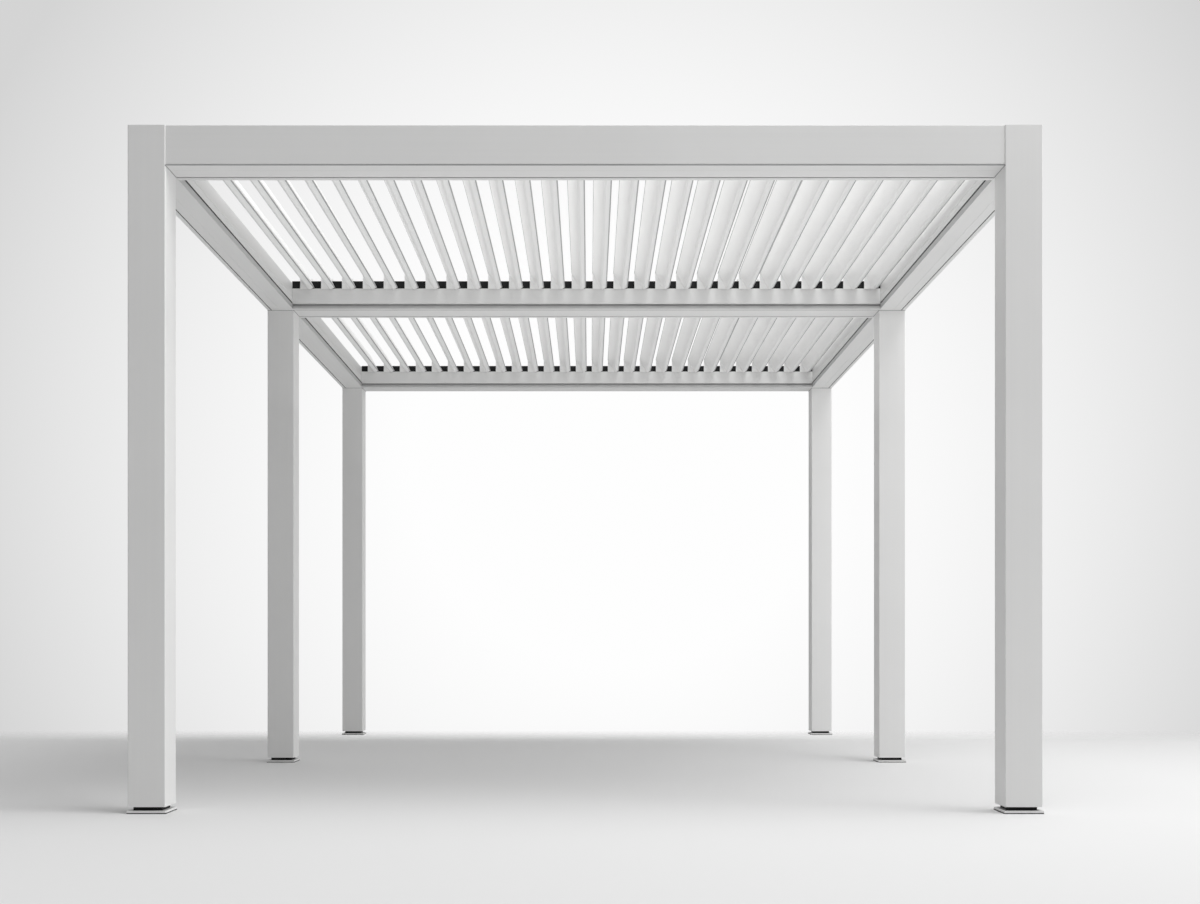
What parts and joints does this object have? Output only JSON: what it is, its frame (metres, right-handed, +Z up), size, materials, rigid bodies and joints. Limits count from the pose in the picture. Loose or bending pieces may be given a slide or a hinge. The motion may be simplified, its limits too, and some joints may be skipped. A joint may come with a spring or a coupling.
{
  "type": "pergola with a louvred roof",
  "caption": "White free-standing pergola on six square posts, with a roof of tilting louvres in two bays.",
  "frame": {"origin": "on the ground below the middle of the frame", "axes": "+Z up, +Y from the front to the rear along the louvres, +X to the right seen from the front"},
  "size_m": [3.645, 5.135, 2.8093],
  "materials": {
    "frame_white": "satin powder coat",
    "louvre_white": "satin powder coat",
    "rail_black": "matt",
    "sleeve_dark": "matt"
  },
  "bodies": {
    "frame": {"front_left_post": "frame_white", "front_right_post": "frame_white", "middle_left_post": "frame_white", "middle_right_post": "frame_white", "rear_left_post": "frame_white", "rear_right_post": "frame_white", "post_caps": "frame_white", "post_sleeves": "sleeve_dark", "base_plates": "frame_white", "front_beam": "frame_white", "middle_beam": "frame_white", "rear_beam": "frame_white", "left_front_beam": "frame_white", "left_rear_beam": "frame_white", "right_front_beam": "frame_white", "right_rear_beam": "frame_white", "left_gutters": "frame_white", "right_gutters": "frame_white", "front_gutter": "frame_white", "middle_gutters": "frame_white", "rear_gutter": "frame_white", "front_bay_pivot_rails": "rail_black", "rear_bay_pivot_rails": "rail_black"},
    "louvre_01": {"louvre_01": "louvre_white"},
    "louvre_02": {"louvre_02": "louvre_white"},
    "louvre_03": {"louvre_03": "louvre_white"},
    "louvre_04": {"louvre_04": "louvre_white"},
    "louvre_05": {"louvre_05": "louvre_white"},
    "louvre_06": {"louvre_06": "louvre_white"},
    "louvre_07": {"louvre_07": "louvre_white"},
    "louvre_08": {"louvre_08": "louvre_white"},
    "louvre_09": {"louvre_09": "louvre_white"},
    "louvre_10": {"louvre_10": "louvre_white"},
    "louvre_11": {"louvre_11": "louvre_white"},
    "louvre_12": {"louvre_12": "louvre_white"},
    "louvre_13": {"louvre_13": "louvre_white"},
    "louvre_14": {"louvre_14": "louvre_white"},
    "louvre_15": {"louvre_15": "louvre_white"},
    "louvre_16": {"louvre_16": "louvre_white"},
    "louvre_17": {"louvre_17": "louvre_white"},
    "louvre_18": {"louvre_18": "louvre_white"},
    "louvre_19": {"louvre_19": "louvre_white"},
    "louvre_20": {"louvre_20": "louvre_white"},
    "louvre_21": {"louvre_21": "louvre_white"},
    "louvre_22": {"louvre_22": "louvre_white"},
    "louvre_23": {"louvre_23": "louvre_white"},
    "louvre_24": {"louvre_24": "louvre_white"},
    "louvre_25": {"louvre_25": "louvre_white"},
    "louvre_26": {"louvre_26": "louvre_white"},
    "louvre_27": {"louvre_27": "louvre_white"},
    "louvre_28": {"louvre_28": "louvre_white"}
  },
  "joints": [
    {"name": "louvre_01_tilt", "type": "hinge", "parent": "frame", "child": "louvre_01", "pos_m": [-1.56946, 0, 2.722], "axis": [0, 1, 0], "range_deg": [-52, 73]},
    {"name": "louvre_02_tilt", "type": "hinge", "parent": "frame", "child": "louvre_02", "pos_m": [-1.45093, 0, 2.722], "axis": [0, 1, 0], "range_deg": [-52, 73]},
    {"name": "louvre_03_tilt", "type": "hinge", "parent": "frame", "child": "louvre_03", "pos_m": [-1.33239, 0, 2.722], "axis": [0, 1, 0], "range_deg": [-52, 73]},
    {"name": "louvre_04_tilt", "type": "hinge", "parent": "frame", "child": "louvre_04", "pos_m": [-1.21386, 0, 2.722], "axis": [0, 1, 0], "range_deg": [-52, 73]},
    {"name": "louvre_05_tilt", "type": "hinge", "parent": "frame", "child": "louvre_05", "pos_m": [-1.09532, 0, 2.722], "axis": [0, 1, 0], "range_deg": [-52, 73]},
    {"name": "louvre_06_tilt", "type": "hinge", "parent": "frame", "child": "louvre_06", "pos_m": [-0.97679, 0, 2.722], "axis": [0, 1, 0], "range_deg": [-52, 73]},
    {"name": "louvre_07_tilt", "type": "hinge", "parent": "frame", "child": "louvre_07", "pos_m": [-0.85825, 0, 2.722], "axis": [0, 1, 0], "range_deg": [-52, 73]},
    {"name": "louvre_08_tilt", "type": "hinge", "parent": "frame", "child": "louvre_08", "pos_m": [-0.73971, 0, 2.722], "axis": [0, 1, 0], "range_deg": [-52, 73]},
    {"name": "louvre_09_tilt", "type": "hinge", "parent": "frame", "child": "louvre_09", "pos_m": [-0.62118, 0, 2.722], "axis": [0, 1, 0], "range_deg": [-52, 73]},
    {"name": "louvre_10_tilt", "type": "hinge", "parent": "frame", "child": "louvre_10", "pos_m": [-0.50264, 0, 2.722], "axis": [0, 1, 0], "range_deg": [-52, 73]},
    {"name": "louvre_11_tilt", "type": "hinge", "parent": "frame", "child": "louvre_11", "pos_m": [-0.38411, 0, 2.722], "axis": [0, 1, 0], "range_deg": [-52, 73]},
    {"name": "louvre_12_tilt", "type": "hinge", "parent": "frame", "child": "louvre_12", "pos_m": [-0.26557, 0, 2.722], "axis": [0, 1, 0], "range_deg": [-52, 73]},
    {"name": "louvre_13_tilt", "type": "hinge", "parent": "frame", "child": "louvre_13", "pos_m": [-0.14704, 0, 2.722], "axis": [0, 1, 0], "range_deg": [-52, 73]},
    {"name": "louvre_14_tilt", "type": "hinge", "parent": "frame", "child": "louvre_14", "pos_m": [-0.0285, 0, 2.722], "axis": [0, 1, 0], "range_deg": [-52, 73]},
    {"name": "louvre_15_tilt", "type": "hinge", "parent": "frame", "child": "louvre_15", "pos_m": [0.09004, 0, 2.722], "axis": [0, 1, 0], "range_deg": [-52, 73]},
    {"name": "louvre_16_tilt", "type": "hinge", "parent": "frame", "child": "louvre_16", "pos_m": [0.20857, 0, 2.722], "axis": [0, 1, 0], "range_deg": [-52, 73]},
    {"name": "louvre_17_tilt", "type": "hinge", "parent": "frame", "child": "louvre_17", "pos_m": [0.32711, 0, 2.722], "axis": [0, 1, 0], "range_deg": [-52, 73]},
    {"name": "louvre_18_tilt", "type": "hinge", "parent": "frame", "child": "louvre_18", "pos_m": [0.44564, 0, 2.722], "axis": [0, 1, 0], "range_deg": [-52, 73]},
    {"name": "louvre_19_tilt", "type": "hinge", "parent": "frame", "child": "louvre_19", "pos_m": [0.56418, 0, 2.722], "axis": [0, 1, 0], "range_deg": [-52, 73]},
    {"name": "louvre_20_tilt", "type": "hinge", "parent": "frame", "child": "louvre_20", "pos_m": [0.68271, 0, 2.722], "axis": [0, 1, 0], "range_deg": [-52, 73]},
    {"name": "louvre_21_tilt", "type": "hinge", "parent": "frame", "child": "louvre_21", "pos_m": [0.80125, 0, 2.722], "axis": [0, 1, 0], "range_deg": [-52, 73]},
    {"name": "louvre_22_tilt", "type": "hinge", "parent": "frame", "child": "louvre_22", "pos_m": [0.91979, 0, 2.722], "axis": [0, 1, 0], "range_deg": [-52, 73]},
    {"name": "louvre_23_tilt", "type": "hinge", "parent": "frame", "child": "louvre_23", "pos_m": [1.03832, 0, 2.722], "axis": [0, 1, 0], "range_deg": [-52, 73]},
    {"name": "louvre_24_tilt", "type": "hinge", "parent": "frame", "child": "louvre_24", "pos_m": [1.15686, 0, 2.722], "axis": [0, 1, 0], "range_deg": [-52, 73]},
    {"name": "louvre_25_tilt", "type": "hinge", "parent": "frame", "child": "louvre_25", "pos_m": [1.27539, 0, 2.722], "axis": [0, 1, 0], "range_deg": [-52, 73]},
    {"name": "louvre_26_tilt", "type": "hinge", "parent": "frame", "child": "louvre_26", "pos_m": [1.39393, 0, 2.722], "axis": [0, 1, 0], "range_deg": [-52, 73]},
    {"name": "louvre_27_tilt", "type": "hinge", "parent": "frame", "child": "louvre_27", "pos_m": [1.51246, 0, 2.722], "axis": [0, 1, 0], "range_deg": [-52, 73]},
    {"name": "louvre_28_tilt", "type": "hinge", "parent": "frame", "child": "louvre_28", "pos_m": [1.631, 0, 2.722], "axis": [0, 1, 0], "range_deg": [-52, 73]}
  ],
  "couplings": [
    {"joint": "louvre_02_tilt", "follows": "louvre_01_tilt", "ratio": 1},
    {"joint": "louvre_03_tilt", "follows": "louvre_01_tilt", "ratio": 1},
    {"joint": "louvre_04_tilt", "follows": "louvre_01_tilt", "ratio": 1},
    {"joint": "louvre_05_tilt", "follows": "louvre_01_tilt", "ratio": 1},
    {"joint": "louvre_06_tilt", "follows": "louvre_01_tilt", "ratio": 1},
    {"joint": "louvre_07_tilt", "follows": "louvre_01_tilt", "ratio": 1},
    {"joint": "louvre_08_tilt", "follows": "louvre_01_tilt", "ratio": 1},
    {"joint": "louvre_09_tilt", "follows": "louvre_01_tilt", "ratio": 1},
    {"joint": "louvre_10_tilt", "follows": "louvre_01_tilt", "ratio": 1},
    {"joint": "louvre_11_tilt", "follows": "louvre_01_tilt", "ratio": 1},
    {"joint": "louvre_12_tilt", "follows": "louvre_01_tilt", "ratio": 1},
    {"joint": "louvre_13_tilt", "follows": "louvre_01_tilt", "ratio": 1},
    {"joint": "louvre_14_tilt", "follows": "louvre_01_tilt", "ratio": 1},
    {"joint": "louvre_15_tilt", "follows": "louvre_01_tilt", "ratio": 1},
    {"joint": "louvre_16_tilt", "follows": "louvre_01_tilt", "ratio": 1},
    {"joint": "louvre_17_tilt", "follows": "louvre_01_tilt", "ratio": 1},
    {"joint": "louvre_18_tilt", "follows": "louvre_01_tilt", "ratio": 1},
    {"joint": "louvre_19_tilt", "follows": "louvre_01_tilt", "ratio": 1},
    {"joint": "louvre_20_tilt", "follows": "louvre_01_tilt", "ratio": 1},
    {"joint": "louvre_21_tilt", "follows": "louvre_01_tilt", "ratio": 1},
    {"joint": "louvre_22_tilt", "follows": "louvre_01_tilt", "ratio": 1},
    {"joint": "louvre_23_tilt", "follows": "louvre_01_tilt", "ratio": 1},
    {"joint": "louvre_24_tilt", "follows": "louvre_01_tilt", "ratio": 1},
    {"joint": "louvre_25_tilt", "follows": "louvre_01_tilt", "ratio": 1},
    {"joint": "louvre_26_tilt", "follows": "louvre_01_tilt", "ratio": 1},
    {"joint": "louvre_27_tilt", "follows": "louvre_01_tilt", "ratio": 1},
    {"joint": "louvre_28_tilt", "follows": "louvre_01_tilt", "ratio": 1}
  ]
}
